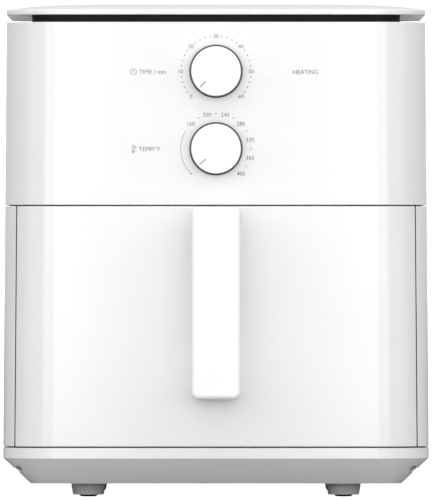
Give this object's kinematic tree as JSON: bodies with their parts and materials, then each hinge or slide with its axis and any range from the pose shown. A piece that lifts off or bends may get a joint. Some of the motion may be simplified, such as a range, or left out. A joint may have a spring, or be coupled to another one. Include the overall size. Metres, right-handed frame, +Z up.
{
  "type": "air fryer",
  "caption": "Countertop air fryer with a pull-out basket drawer, lift-out crisper plate, upright bar handle and two turning dials on a glossy rounded casing.",
  "frame": {"origin": "middle of the bounding box in plan, on the surface that the feet stand on", "axes": "+Z up; the front, with the drawer handle and the dials, faces -Y; +X is to the right seen from the front"},
  "size_m": [0.2846, 0.372, 0.33],
  "materials": {
    "white_gloss": "high-gloss moulded white",
    "black_plastic": "satin black",
    "dark_plastic": "satin dark grey",
    "grey_plastic": "fine matt light grey",
    "rubber": "matt black",
    "silicone": "soft matt dark grey",
    "nonstick": "satin non-stick coating",
    "sheet_steel": "bright rolled sheet",
    "element_steel": "heat-tinted sheath",
    "aluminium": "satin",
    "brass": "bright",
    "clear_lens": "polished milky lens",
    "lamp_glass": "clear amber",
    "ceramic": "unglazed"
  },
  "bodies": {
    "housing": {"lid_cover": "white_gloss", "upper_shell": "white_gloss", "lower_shell": "white_gloss", "base_tray": "white_gloss", "outlet_grille": "white_gloss", "vent_collar": "black_plastic", "cord_gland": "black_plastic", "drawer_switch": "black_plastic", "front_bezel": "dark_plastic", "timer": "dark_plastic", "foot_front_left": "grey_plastic", "foot_front_right": "grey_plastic", "foot_rear_left": "grey_plastic", "foot_rear_right": "grey_plastic", "pad_front_left": "rubber", "pad_front_right": "rubber", "pad_rear_left": "rubber", "pad_rear_right": "rubber", "pan_bay": "sheet_steel", "reflector": "sheet_steel", "heater_guard": "sheet_steel", "motor_bracket": "sheet_steel", "exhaust_duct": "sheet_steel", "control_bracket": "sheet_steel", "rear_screw_left": "sheet_steel", "rear_screw_right": "sheet_steel", "heating_element": "element_steel", "fan_motor": "aluminium", "timer_bell": "aluminium", "thermostat_bulb": "brass", "thermostat_capillary": "brass", "lamp_window": "clear_lens", "indicator_lamp": "lamp_glass", "thermal_fuse": "ceramic", "thermostat": "ceramic", "terminal_block": "ceramic"},
    "drawer": {"drawer_front": "white_gloss", "drawer_liner": "dark_plastic", "drawer_seal": "silicone", "drawer_pan": "nonstick", "handle": "white_gloss", "handle_grip": "grey_plastic", "handle_screw_upper": "sheet_steel", "handle_screw_lower": "sheet_steel"},
    "crisper": {"crisper_plate": "nonstick", "plate_foot_1": "silicone", "plate_foot_2": "silicone", "plate_foot_3": "silicone", "plate_foot_4": "silicone"},
    "rotor": {"motor_shaft": "sheet_steel", "hot_air_fan": "aluminium", "cooling_fan": "aluminium", "fan_nut": "sheet_steel"},
    "time_dial": {"time_knob": "white_gloss", "time_knob_ring": "dark_plastic", "timer_shaft": "aluminium"},
    "temp_dial": {"temp_knob": "white_gloss", "temp_knob_ring": "dark_plastic", "thermostat_shaft": "aluminium"}
  },
  "joints": [
    {"name": "drawer_slide", "type": "slide", "parent": "housing", "child": "drawer", "axis": [0, -1, 0], "range_m": [0, 0.28]},
    {"name": "crisper_lift", "type": "slide", "parent": "drawer", "child": "crisper", "axis": [0, 0, 1], "range_m": [0, 0.1]},
    {"name": "fan_spin", "type": "hinge", "parent": "housing", "child": "rotor", "pos_m": [0, 0.0193, 0.25], "axis": [0, 0, 1], "continuous": true},
    {"name": "time_turn", "type": "hinge", "parent": "housing", "child": "time_dial", "pos_m": [0, -0.14, 0.2842], "axis": [0, 1, 0], "range_deg": [0, 270]},
    {"name": "temp_turn", "type": "hinge", "parent": "housing", "child": "temp_dial", "pos_m": [0, -0.14, 0.2326], "axis": [0, 1, 0], "range_deg": [0, 270]}
  ]
}
